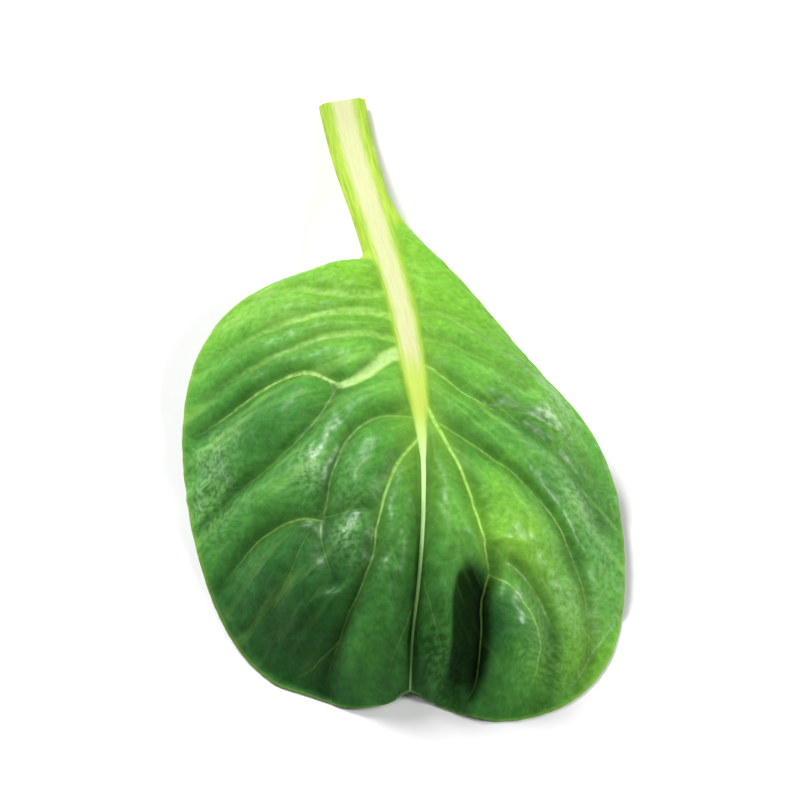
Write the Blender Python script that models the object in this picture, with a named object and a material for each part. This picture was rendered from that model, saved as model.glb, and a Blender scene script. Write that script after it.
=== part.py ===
"""One whole leaf of tatsoi, picked with its stalk and lying face up on a flat surface.

The leaf is one living piece: a spoon of thin puckered blade, carried by a midrib that swells into a thick,
pale stalk. It lies like an upturned bowl. The blade's rim and the heel of the cut stalk touch the surface,
and the middle stands clear of it.

A flat grid of two parameters is extruded once, for the upper and the under face, and then bent into the leaf
by leaf_points(). The first parameter, across, runs from -1 at the left margin over 0 on the midrib to 1 at
the right margin. The second, along, runs from 0 at the cut end of the stalk to 1 in the notch at the tip.
Lengths are in metres, +Z is up, and the stalk points along +Y.
"""

import bmesh
import bpy
import numpy as np

MM = 0.001

# The grid: columns from margin to margin, how they crowd towards the midrib, and rows on the stalk and blade
COLUMNS = 42
COLUMN_CROWDING = 1.25
STALK_ROWS = 8
BLADE_ROWS = 60

# The upper face of the midrib, from the cut end of the stalk to the notch at the tip, in mm
MIDRIB = (
    (-13.9, 125.4, 3.4),
    (-12.7, 118.8, 3.7),
    (-11.3, 111.6, 5.4),
    (-8.6, 99.6, 9.7),
    (-5.6, 86.3, 13.7),
    (-3.0, 74.5, 16.8),
    (-1.1, 62.3, 19.3),
    (0.3, 50.6, 20.8),
    (1.0, 39.8, 20.6),
    (0.9, 29.8, 18.6),
    (0.2, 20.4, 14.8),
    (-0.9, 12.0, 9.6),
    (-1.3, 5.4, 3.0),
)

# The blade's margin on each side, from where it leaves the stalk to the notch, in mm
LEFT_MARGIN = (
    (-15.2, 84.2, 12.3),
    (-24.8, 83.2, 10.5),
    (-33.0, 79.5, 8.0),
    (-38.9, 71.5, 5.4),
    (-41.7, 61.0, 3.4),
    (-41.9, 49.5, 1.8),
    (-40.2, 37.5, 0.6),
    (-36.8, 25.5, -0.2),
    (-31.8, 14.5, -1.5),
    (-25.0, 7.4, -1.5),
    (-17.6, 4.9, 0.0),
    (-10.6, 2.4, 0.3),
    (-6.0, 3.2, 1.2),
    (-3.4, 4.6, 2.4),
)
RIGHT_MARGIN = (
    (-1.5, 92.5, 12.6),
    (5.4, 83.4, 14.0),
    (13.6, 73.5, 13.6),
    (22.7, 62.9, 10.8),
    (30.5, 54.0, 7.2),
    (35.2, 44.5, 4.2),
    (36.6, 33.5, 2.0),
    (36.2, 22.0, 0.3),
    (33.2, 11.0, -1.5),
    (27.2, 4.4, -1.5),
    (19.0, 0.9, 0.0),
    (11.0, 0.6, 0.3),
    (4.8, 2.8, 1.2),
    (0.8, 4.7, 2.4),
)

# Where along the midrib the blade starts on each side, how far the corner there is rounded, fading out near
# the leaf's two ends, and how far the side lines run ahead of the midrib
LEFT_START = 0.325
RIGHT_START = 0.215
CORNER_EASE = 0.02
CORNER_EASE_FADE = 0.1
SWEEP = 1.75

# The stalk: it narrows from the cut to the neck, and has rounded edges and a shallow groove
NECK = 0.25
STALK_HALF_WIDTHS = (4.1, 3.5)
STALK_EDGE_DROP = 0.5 * MM
STALK_EDGE_ROUND = 0.55 * MM
STALK_EDGE_ROUND_FROM = 0.7
STALK_EDGE_THICKNESS = 1.2 * MM
STALK_GROOVE = 0.35 * MM
STALK_GROOVE_OUT = 0.8
STALK_GROOVE_END = (0.1, 0.3)

# The midrib: the keel that it makes under the leaf, and its raised back on the blade
KEEL_STATIONS = (0.0, 0.2, 0.4, 0.52, 0.62, 0.8, 1.0)
KEEL_HALF_WIDTHS = (4.0, 3.3, 2.6, 2.0, 1.3, 0.8, 0.5)
KEEL_DEPTHS = (2.6, 2.6, 2.3, 1.8, 1.1, 0.7, 0.3)
MIDRIB_RAISE = 0.35 * MM
MIDRIB_RAISE_START = (0.3, 0.5)

# The blade: where it counts as blade, in stalk half-widths of reach and in keel half-widths from the midrib
BLADE_THICKNESS = 0.7 * MM
OPENED_REACH = (1.0, 4.0)
OPENED_SIDE = (0.3, 1.6)

# Its dome between the midrib and the margin, and the wave of its margin
DOME_POWER = 2.3
BRIM_POWER = 1.25
SHOULDER = 1.4 * MM
MARGIN_WAVE = 0.7 * MM
MARGIN_WAVE_RATE = 46.0
MARGIN_WAVE_POWER = 4

# Its puckers between the veins, which flatten towards the margin
PUCKER_HEIGHT = 4.2 * MM
PUCKER_WIDTH = 2.6 * MM
PUCKER_ROUNDING = 1.0 * MM
MIDRIB_VALLEY_WIDTH = 3.4 * MM
BLISTER_HEIGHT = 0.3 * MM
FLATTEN_FROM = 0.72
PUCKER_AT_MARGIN = 0.15
PUCKER_AT_NECK = 0.3
PUCKER_NECK_EASE = (0.28, 0.5)
FOLD_AT_MARGIN = 0.3

# The ribs of the veins: all on the under face, and the thick vein's on the upper face too
RIB_RAISE = 0.5 * MM
RIB_HALF_WIDTH = 1.6 * MM
THICK_RIB_RAISE = 0.4 * MM
THICK_RIB_HALF_WIDTH = 1.1 * MM
VEIN_ROOT_EASE = (-0.12, 0.04)
VEIN_END_EASE = (0.94, 1.12)

# The deep fold beside the inner fork of the right lobe
FOLD_DEPTH = 5.4 * MM
FOLD_STEEP_WIDTH = 2.5 * MM
FOLD_GENTLE_WIDTH = 6.0 * MM
FOLD_SHIFT = 3.0 * MM
FOLD_ROOT_EASE = (-0.25, 0.15)
FOLD_END_EASE = (0.85, 1.25)

# The side veins: root, end, bow, sway and depth. Each arches over from its root to its end. The bow is how
# far the arch stands to the left of the way it runs, and the sway shifts it towards its end. These and the
# points are in mm. The depth is the share of the pucker's height that the vein holds down.
VEINS = {
    "right_outer": ((1.2, 60.2), (14.1, 52.1), -1.1, -0.9, 0.80),
    "right_rim": ((14.0, 52.2), (35.0, 33.8), 6.2, -1.6, 0.60),
    "right_crease": ((14.6, 51.5), (32.7, 34.8), 3.0, 0.0, 0.85),
    "right_arch": ((3.9, 47.9), (27.1, 26.9), 2.5, 2.2, 0.95),
    "right_arch_end": ((27.1, 26.9), (27.4, 5.0), 2.7, 0.1, 0.90),
    "right_stem": ((1.2, 51.7), (12.3, 21.9), 1.3, 0.2, 0.90),
    "right_fork_inner": ((12.3, 21.9), (7.6, 2.6), 0.9, 2.2, 1.00),
    "right_fork_outer": ((12.3, 21.9), (17.2, 1.9), 6.1, 0.8, 0.30),
    "right_fork_crease": ((15.5, 24.0), (20.5, 2.0), 5.2, 0.3, 0.95),
    "right_tip": ((0.9, 20.0), (3.9, 3.4), 1.0, 0.9, 0.60),
    "right_pleat": ((0.9, 71.7), (22.0, 61.5), 1.8, -0.6, 0.60),
    "right_brow": ((0.9, 65.7), (20.0, 57.2), 1.0, 0.0, 0.60),
    "left_thick": ((-1.8, 63.2), (-14.2, 56.1), 0.6, 1.8, 0.90),
    "left_outer": ((-14.3, 56.6), (-40.6, 54.5), -2.9, 4.3, 0.90),
    "left_crease": ((-14.2, 55.9), (-38.9, 37.2), 3.1, -1.3, 0.90),
    "left_arch": ((-0.7, 49.2), (-16.6, 30.9), -5.7, 2.7, 0.85),
    "left_arch_end": ((-16.6, 30.9), (-35.7, 25.0), -3.0, 1.1, 0.85),
    "left_bridge": ((-16.4, 31.6), (-6.4, 31.7), -0.4, 0.2, 0.60),
    "left_inner": ((0.4, 45.0), (-7.6, 24.3), -1.9, 0.5, 0.80),
    "left_inner_end": ((-7.6, 24.3), (-16.5, 4.6), -0.1, -0.9, 1.00),
    "left_node": ((-16.6, 30.9), (-14.3, 18.9), -0.6, 0.6, 0.55),
    "left_lobe": ((-18.6, 28.9), (-31.1, 16.5), 2.2, 2.0, 0.45),
    "left_lobe_low": ((-13.7, 11.8), (-22.4, 8.1), 0.8, 0.0, 0.40),
    "left_tip": ((-0.4, 17.3), (-6.9, 3.2), 0.3, 0.0, 0.60),
    "left_pleat": ((-5.6, 76.4), (-31.8, 78.7), 0.5, -3.2, 0.60),
    "left_brow": ((-4.3, 70.8), (-37.4, 68.3), -1.5, 1.6, 0.70),
    "left_cheek": ((-3.5, 65.6), (-39.2, 60.4), -2.4, 1.6, 0.75),
}

LEAF_COLOUR = (0.06, 0.27, 0.035, 1.0)
LEAF_ROUGHNESS = 0.4


def smooth_step(low, high, value):
    """0 below low, 1 above high, and an even ease between them."""
    share = np.clip((value - low) / (high - low), 0.0, 1.0)
    return share * share * (3.0 - 2.0 * share)


def spline(points, share):
    """A smooth curve through the points, read where share of its length has passed, from 0 to 1.

    Each stretch between two points is a cubic, whose end slopes weigh the chords on both sides of the point.
    """
    points = np.asarray(points, float)
    chords = np.linalg.norm(np.diff(points, axis=0), axis=1)
    knots = np.concatenate([[0.0], np.cumsum(chords)]) / chords.sum()
    steps = np.diff(knots)[:, None]
    rises = np.diff(points, axis=0) / steps
    slopes = np.empty_like(points)
    slopes[1:-1] = (rises[:-1] * steps[1:] + rises[1:] * steps[:-1]) / (steps[:-1] + steps[1:])
    slopes[0] = rises[0]
    slopes[-1] = rises[-1]
    stretch = np.clip(np.searchsorted(knots, share, side="right") - 1, 0, len(knots) - 2)
    step = steps[stretch]
    passed = (share - knots[stretch])[..., None] / step
    left = 1.0 - passed
    return (
        points[stretch] * (1.0 + 2.0 * passed) * left**2
        + slopes[stretch] * step * passed * left**2
        + points[stretch + 1] * (3.0 - 2.0 * passed) * passed**2
        - slopes[stretch + 1] * step * left * passed**2
    )


def midrib_at(along):
    return spline(np.array(MIDRIB) * MM, along)


def sideways_at(along):
    """The level unit direction to the right of the midrib."""
    step = 0.01
    ahead = midrib_at(np.clip(along + step, 0.0, 1.0)) - midrib_at(np.clip(along - step, 0.0, 1.0))
    right = np.stack([-ahead[..., 1], ahead[..., 0], 0.0 * ahead[..., 0]], axis=-1)
    return right / np.linalg.norm(right, axis=-1, keepdims=True)


def stalk_half_width_at(along):
    return np.interp(along, (0.0, NECK), STALK_HALF_WIDTHS) * MM


def stalk_edge_at(along, side):
    edge = midrib_at(along) + side * stalk_half_width_at(along)[..., None] * sideways_at(along)
    edge[..., 2] -= STALK_EDGE_DROP
    return edge


def sharp_margin_at(along, side):
    """The leaf's edge on one side (-1 left, 1 right): the stalk's own edge, and then the blade's margin."""
    start = LEFT_START if side < 0 else RIGHT_START
    listed = np.array(LEFT_MARGIN if side < 0 else RIGHT_MARGIN) * MM
    corner = stalk_edge_at(np.array([start]), side)
    passed = np.clip((along - start) / (1.0 - start), 0.0, 1.0)
    blade = spline(np.concatenate([corner, listed]), 1.0 - (1.0 - passed) ** SWEEP)
    return np.where((along > start)[..., None], blade, stalk_edge_at(along, side))


def margin_at(along, side):
    """The leaf's edge with the corner between stalk and blade rounded, as a mean of neighbouring places."""
    ease = CORNER_EASE * np.clip(along / CORNER_EASE_FADE, 0.0, 1.0)
    ease = ease * np.clip((1.0 - along) / CORNER_EASE_FADE, 0.0, 1.0)
    shifts = (-1.0, -0.5, 0.0, 0.5, 1.0)
    return sum(sharp_margin_at(along + shift * ease, side) for shift in shifts) / len(shifts)


def vein_lines(x, y, vein):
    """How far along a side vein a point lies, from 0 to 1, and its distance from it, positive on the left."""
    root, end = np.array(vein[0]) * MM, np.array(vein[1]) * MM
    bow, sway = vein[2] * MM, vein[3] * MM
    length = np.linalg.norm(end - root)
    ahead = (end - root) / length
    passed = ((x - root[0]) * ahead[0] + (y - root[1]) * ahead[1]) / length
    beside = (y - root[1]) * ahead[0] - (x - root[0]) * ahead[1]
    on_arch = np.clip(passed, 0.0, 1.0)
    hump, tilt = 4.0 * on_arch * (1.0 - on_arch), 2.0 * on_arch - 1.0
    arch = hump * (bow + sway * tilt)
    slope = (4.0 * (1.0 - 2.0 * on_arch) * (bow + sway * tilt) + 2.0 * sway * hump) / length
    return passed, (beside - arch) / np.sqrt(1.0 + slope * slope)


def reach_of(passed):
    """1 beside a vein, easing to 0 just before its root and just past its end."""
    return smooth_step(*VEIN_ROOT_EASE, passed) * (1.0 - smooth_step(*VEIN_END_EASE, passed))


def valley(offset, half_width):
    """1 on a line, and falling away on both sides of it as a rounded crease."""
    rounded = np.sqrt(offset**2 + PUCKER_ROUNDING**2) - PUCKER_ROUNDING
    return np.exp(-rounded / half_width)


def pucker(x, y, from_midrib):
    """How far the blade swells between its veins: full height in the open, and none on a vein."""
    swell = 1.0 - valley(from_midrib, MIDRIB_VALLEY_WIDTH)
    for vein in VEINS.values():
        passed, offset = vein_lines(x, y, vein)
        swell = swell * (1.0 - vein[4] * reach_of(passed) * valley(offset, PUCKER_WIDTH))
    return PUCKER_HEIGHT * swell


def fold(x, y):
    """The deep fold in the right lobe: steep on the midrib's side of the inner fork, gentle on the other."""
    passed, offset = vein_lines(x, y, VEINS["right_fork_inner"])
    offset = offset + FOLD_SHIFT
    half_width = np.where(offset < 0, FOLD_STEEP_WIDTH, FOLD_GENTLE_WIDTH)
    reach = smooth_step(*FOLD_ROOT_EASE, passed) * (1.0 - smooth_step(*FOLD_END_EASE, passed))
    return FOLD_DEPTH * reach * np.exp(-((offset / half_width) ** 2))


def thick_rib(x, y):
    """The round back of the thick vein on the left, which stands out of the upper face."""
    passed, offset = vein_lines(x, y, VEINS["left_thick"])
    return THICK_RIB_RAISE * reach_of(passed) * np.exp(-((offset / THICK_RIB_HALF_WIDTH) ** 2))


def blister(x, y):
    """Small uneven swellings 6 to 7 mm apart, as the product of two waves that are themselves bent."""
    first = np.sin(x / (1.9 * MM) + 1.3 * np.sin(y / (5.1 * MM)))
    second = np.sin(y / (2.3 * MM) + 1.1 * np.sin(x / (4.3 * MM) + 0.7))
    return BLISTER_HEIGHT * first * second


def keel_at(along):
    half_width = np.interp(along, KEEL_STATIONS, KEEL_HALF_WIDTHS) * MM
    depth = np.interp(along, KEEL_STATIONS, KEEL_DEPTHS) * MM
    return half_width, depth


def upper_face(across, along):
    """Points of the leaf's upper face, with the distance of each from the midrib and how much it is blade."""
    side = np.where(across < 0, -1.0, 1.0)
    out = np.abs(across)
    rib = midrib_at(along)
    margin = np.where((side < 0)[..., None], margin_at(along, -1), margin_at(along, 1))
    reach = margin[..., :2] - rib[..., :2]
    level = rib[..., :2] + reach * out[..., None]
    x, y = level[..., 0], level[..., 1]
    from_midrib = np.abs(np.sum(reach * sideways_at(along)[..., :2], axis=-1)) * out
    half_width, _ = keel_at(along)
    opened = smooth_step(*OPENED_REACH, np.linalg.norm(reach, axis=-1) / stalk_half_width_at(along))
    bladed = opened * smooth_step(*OPENED_SIDE, from_midrib / half_width)

    inside = 1.0 - smooth_step(FLATTEN_FROM, 1.0, out)
    swollen = PUCKER_AT_NECK + (1.0 - PUCKER_AT_NECK) * smooth_step(*PUCKER_NECK_EASE, along)
    raised = smooth_step(*MIDRIB_RAISE_START, along)
    grooved = 1.0 - smooth_step(*STALK_GROOVE_END, along)
    edging = np.clip((out - STALK_EDGE_ROUND_FROM) / (1.0 - STALK_EDGE_ROUND_FROM), 0.0, 1.0)
    height = margin[..., 2] + (rib[..., 2] - margin[..., 2]) * (1.0 - out**DOME_POWER) ** BRIM_POWER
    height += SHOULDER * bladed * np.sin(np.pi * out)
    height += MIDRIB_RAISE * raised * np.clip(1.0 - (from_midrib / half_width) ** 2, 0.0, 1.0)
    height -= STALK_GROOVE * grooved * np.clip(1.0 - (out / STALK_GROOVE_OUT) ** 2, 0.0, 1.0)
    height -= STALK_EDGE_ROUND * (1.0 - opened) * edging**2
    swelling = pucker(x, y, from_midrib) + blister(x, y)
    height += bladed * swollen * swelling * (PUCKER_AT_MARGIN + (1.0 - PUCKER_AT_MARGIN) * inside)
    height -= bladed * fold(x, y) * (FOLD_AT_MARGIN + (1.0 - FOLD_AT_MARGIN) * inside)
    height += bladed * thick_rib(x, y)
    height += MARGIN_WAVE * opened * out**MARGIN_WAVE_POWER * np.sin(along * MARGIN_WAVE_RATE + side)
    return np.stack([x, y, height], axis=-1), from_midrib, bladed


def normals_of(across, along):
    """Unit normals of the upper face, from its slopes along the two parameters."""
    step = 0.004
    low, high = np.clip(across - step, -1.0, 1.0), np.clip(across + step, -1.0, 1.0)
    over = upper_face(high, along)[0] - upper_face(low, along)[0]
    low, high = np.clip(along - step, 0.0, 1.0), np.clip(along + step, 0.0, 1.0)
    down = upper_face(across, high)[0] - upper_face(across, low)[0]
    normal = np.cross(down, over)
    return normal / np.linalg.norm(normal, axis=-1, keepdims=True)


def thickness_of(points, from_midrib, bladed, along):
    """The blade's own thickness, with the midrib's round keel and the side veins' ribs added underneath."""
    half_width, depth = keel_at(along)
    wall = STALK_EDGE_THICKNESS + (BLADE_THICKNESS - STALK_EDGE_THICKNESS) * bladed
    keel = depth * np.sqrt(np.clip(1.0 - (from_midrib / half_width) ** 2, 0.0, 1.0))
    ribs = 0.0
    for vein in VEINS.values():
        passed, offset = vein_lines(points[:, 0], points[:, 1], vein)
        ribs = np.maximum(ribs, vein[4] * reach_of(passed) * np.exp(-((offset / RIB_HALF_WIDTH) ** 2)))
    return wall + keel + RIB_RAISE * ribs * bladed


def leaf_points(across, along, under):
    """The leaf's points for grid points across and along, on the under face where under is true."""
    top, from_midrib, bladed = upper_face(across, along)
    wall = thickness_of(top, from_midrib, bladed, along)
    bottom = top - wall[:, None] * normals_of(across, along)
    top[:, 2] = np.maximum(top[:, 2], BLADE_THICKNESS)
    bottom[:, 2] = np.maximum(bottom[:, 2], 0.0)
    return np.where(under[:, None], bottom, top)


def spread_rows(share):
    """Row share to along: an even run of stalk rows, and then an even run of blade rows."""
    stalk_share = STALK_ROWS / (STALK_ROWS + BLADE_ROWS)
    return np.interp(share, (0.0, stalk_share, 1.0), (0.0, RIGHT_START, 1.0))


def spread_columns(share):
    """Column share to across: the columns crowd towards the midrib."""
    return np.sign(share) * np.abs(share) ** COLUMN_CROWDING


def flat_grid():
    """A grid from -1 to 1 both ways at height 0, with its copy at height 1 joined to it, all in triangles.

    The diagonals of the two halves mirror each other, so that they run with the veins on both sides.
    """
    grid = bmesh.new()
    bmesh.ops.create_grid(grid, x_segments=COLUMNS, y_segments=STALK_ROWS + BLADE_ROWS, size=1.0)
    right = [face for face in grid.faces if face.calc_center_median().x > 0.0]
    bmesh.ops.triangulate(grid, faces=right, quad_method="ALTERNATE")
    left = [face for face in grid.faces if len(face.verts) == 4]
    bmesh.ops.triangulate(grid, faces=left, quad_method="FIXED")
    made = bmesh.ops.extrude_face_region(grid, geom=grid.faces[:], use_keep_orig=True)
    raised = [item for item in made["geom"] if isinstance(item, bmesh.types.BMVert)]
    bmesh.ops.translate(grid, verts=raised, vec=(0.0, 0.0, 1.0))
    bmesh.ops.triangulate(grid, faces=grid.faces[:])
    bmesh.ops.recalc_face_normals(grid, faces=grid.faces[:])
    return grid


def set_down(points):
    """Moves the points so that their box stands on z = 0, centred over the origin."""
    low, high = points.min(axis=0), points.max(axis=0)
    middle = (low + high) / 2.0
    return points - np.array([middle[0], middle[1], low[2]])


def leaf_material():
    material = bpy.data.materials.new("leaf_green")
    material.use_nodes = True
    shader = material.node_tree.nodes["Principled BSDF"]
    shader.inputs["Base Color"].default_value = LEAF_COLOUR
    shader.inputs["Roughness"].default_value = LEAF_ROUGHNESS
    shader.inputs["Metallic"].default_value = 0.0
    return material


def make_leaf(collection):
    grid = flat_grid()
    mesh = bpy.data.meshes.new("tatsoi_leaf")
    grid.to_mesh(mesh)
    grid.free()
    flat = np.empty(len(mesh.vertices) * 3, np.float32)
    mesh.vertices.foreach_get("co", flat)
    flat = flat.reshape(-1, 3).astype(float)
    across = spread_columns(flat[:, 0])
    along = spread_rows((1.0 - flat[:, 1]) / 2.0)
    points = set_down(leaf_points(across, along, flat[:, 2] < 0.5))
    mesh.vertices.foreach_set("co", points.astype(np.float32).ravel())
    mesh.materials.append(leaf_material())
    mesh.shade_smooth()
    mesh.update()
    leaf = bpy.data.objects.new("tatsoi_leaf", mesh)
    collection.objects.link(leaf)
    return leaf


def main():
    for obj in list(bpy.data.objects):
        bpy.data.objects.remove(obj, do_unlink=True)
    collection = bpy.data.collections.new("tatsoi")
    bpy.context.scene.collection.children.link(collection)
    make_leaf(collection)


main()
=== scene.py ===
"""The looks of one tatsoi leaf, picked with its stalk and lying face up.

The loaded frame holds the leaf as one plain solid. This add-on works the same curves out again on a finer
grid and gives the leaf its skin: crisp pale veins, the net of small veins between them, waxy green that
deepens towards the tip, partly as painted shade, with painted light, shade and highlights laid on in places,
and the juicy pale stalk with its cut end. A second operator lays the floor, hangs the lights and sets the
camera. Lengths are in metres unless a comment says mm, +Z is up, and the stalk points along +Y.
"""

import functools
import math

import bpy
import numpy as np
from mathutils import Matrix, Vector


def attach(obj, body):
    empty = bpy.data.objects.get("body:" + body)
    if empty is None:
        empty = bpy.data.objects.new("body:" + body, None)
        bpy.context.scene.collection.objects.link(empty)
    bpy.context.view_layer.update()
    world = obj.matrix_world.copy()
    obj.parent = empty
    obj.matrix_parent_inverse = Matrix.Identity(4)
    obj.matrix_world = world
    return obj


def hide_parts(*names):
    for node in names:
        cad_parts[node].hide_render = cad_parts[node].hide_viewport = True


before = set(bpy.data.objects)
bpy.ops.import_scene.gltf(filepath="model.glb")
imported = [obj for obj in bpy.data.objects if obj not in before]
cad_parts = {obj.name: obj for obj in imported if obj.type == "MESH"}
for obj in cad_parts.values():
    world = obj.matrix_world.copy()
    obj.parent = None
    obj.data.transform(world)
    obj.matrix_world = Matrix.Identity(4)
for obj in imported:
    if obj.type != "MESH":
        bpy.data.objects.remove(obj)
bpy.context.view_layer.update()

bl_info = {
    "name": "Tatsoi Leaf",
    "version": (1, 0, 0),
    "blender": (4, 5, 0),
    "location": "3D View > Sidebar > Tatsoi",
    "description": "Makes one tatsoi leaf around a loaded frame, with its floor, lights and camera",
    "category": "Add Mesh",
}

MM = 0.001

# How far the leaf's drawing was shifted when it was set down over the origin
SET_DOWN = (2.672 * MM, -63.28 * MM, 0.0)

# The upper face of the midrib, from the cut end of the stalk to the notch at the tip, in mm
MIDRIB = (
    (-13.9, 125.4, 3.4), (-12.7, 118.8, 3.7), (-11.3, 111.6, 5.4),
    (-8.6, 99.6, 9.7), (-5.6, 86.3, 13.7), (-3.0, 74.5, 16.8),
    (-1.1, 62.3, 19.3), (0.3, 50.6, 20.8), (1.0, 39.8, 20.6),
    (0.9, 29.8, 18.6), (0.2, 20.4, 14.8), (-0.9, 12.0, 9.6),
    (-1.3, 5.4, 3.0),
)

# The blade's margin on each side, from where it leaves the stalk to the notch, in mm
LEFT_MARGIN = (
    (-15.2, 84.2, 12.3), (-24.8, 83.2, 10.5), (-33.0, 79.5, 8.0),
    (-38.9, 71.5, 5.4), (-41.7, 61.0, 3.4), (-41.9, 49.5, 1.8),
    (-40.2, 37.5, 0.6), (-36.8, 25.5, -0.2), (-31.8, 14.5, -1.5),
    (-25.0, 7.4, -1.5), (-17.6, 4.9, 0.0), (-10.6, 2.4, 0.3),
    (-6.0, 3.2, 1.2), (-3.4, 4.6, 2.4),
)
RIGHT_MARGIN = (
    (-1.5, 92.5, 12.6), (5.4, 83.4, 14.0), (13.6, 73.5, 13.6),
    (22.7, 62.9, 10.8), (30.5, 54.0, 7.2), (35.2, 44.5, 4.2),
    (36.6, 33.5, 2.0), (36.2, 22.0, 0.3), (33.2, 11.0, -1.5),
    (27.2, 4.4, -1.5), (19.0, 0.9, 0.0), (11.0, 0.6, 0.3),
    (4.8, 2.8, 1.2), (0.8, 4.7, 2.4),
)

# Where along the midrib the blade starts on each side, how far the corner there is rounded, fading out near
# the leaf's two ends, and how far the side lines run ahead of the midrib
LEFT_START = 0.325
RIGHT_START = 0.215
CORNER_EASE = 0.02
CORNER_EASE_FADE = 0.1
SWEEP = 1.75

# The stalk: it narrows from the cut to the neck, and has rounded edges and a shallow groove
NECK = 0.25
STALK_HALF_WIDTHS = (4.1, 3.5)
STALK_EDGE_DROP = 0.5 * MM
STALK_EDGE_ROUND = 0.55 * MM
STALK_EDGE_ROUND_FROM = 0.7
STALK_EDGE_THICKNESS = 1.2 * MM
STALK_GROOVE = 0.35 * MM
STALK_GROOVE_OUT = 0.8
STALK_GROOVE_END = (0.1, 0.3)

# The midrib: the keel that it makes under the leaf, and its raised back on the blade
KEEL_STATIONS = (0.0, 0.2, 0.4, 0.52, 0.62, 0.8, 1.0)
KEEL_HALF_WIDTHS = (4.0, 3.3, 2.6, 2.0, 1.3, 0.8, 0.5)
KEEL_DEPTHS = (2.6, 2.6, 2.3, 1.8, 1.1, 0.7, 0.3)
MIDRIB_RAISE = 0.35 * MM
MIDRIB_RAISE_START = (0.3, 0.5)

# The midrib's pale core: half its width in mm at stations along the leaf
CORE_STATIONS = (0.0, 0.1, 0.2, 0.3, 0.5, 0.57, 0.62, 0.68, 0.8, 0.9, 1.0)
CORE_HALF_WIDTHS = (1.85, 1.85, 1.8, 1.65, 1.5, 1.25, 0.7, 0.26, 0.2, 0.15, 0.1)

# The blade: where it counts as blade, in stalk half-widths of reach and in keel half-widths from the midrib
OPENED_REACH = (1.0, 4.0)
OPENED_SIDE = (0.3, 1.6)

# Its dome between the midrib and the margin, and the wave of its margin
DOME_POWER = 2.3
BRIM_POWER = 1.25
SHOULDER = 1.4 * MM
MARGIN_WAVE = 0.7 * MM
MARGIN_WAVE_RATE = 46.0
MARGIN_WAVE_POWER = 4

# Its puckers between the veins, which flatten towards the margin
PUCKER_HEIGHT = 4.2 * MM
PUCKER_WIDTH = 2.6 * MM
MIDRIB_VALLEY_WIDTH = 3.4 * MM
FLATTEN_FROM = 0.72
PUCKER_AT_MARGIN = 0.15
PUCKER_AT_NECK = 0.3
PUCKER_NECK_EASE = (0.28, 0.5)
FOLD_AT_MARGIN = 0.3

# Its small uneven swellings: their height, and the length of one radian of the two waves that make them, one
# on each axis. Each wave is bent by a slower one on the other axis, which has its own radian and swing.
BLISTER_HEIGHT = 0.3 * MM
BLISTER_RADIANS = (1.9 * MM, 2.3 * MM)
BLISTER_BEND_RADIANS = (5.1 * MM, 4.3 * MM)
BLISTER_BENDS = (1.3, 1.1)
BLISTER_BEND_START = 0.7

# The ribs of the veins: all on the under face, and the thick vein's on the upper face too
THICK_RIB_RAISE = 0.4 * MM
THICK_RIB_HALF_WIDTH = 1.1 * MM
VEIN_ROOT_EASE = (-0.12, 0.04)
VEIN_END_EASE = (0.94, 1.12)

# The deep fold beside the inner fork of the right lobe
FOLD_DEPTH = 5.4 * MM
FOLD_STEEP_WIDTH = 2.5 * MM
FOLD_GENTLE_WIDTH = 6.0 * MM
FOLD_SHIFT = 3.0 * MM
FOLD_ROOT_EASE = (-0.25, 0.15)
FOLD_END_EASE = (0.85, 1.25)

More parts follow.
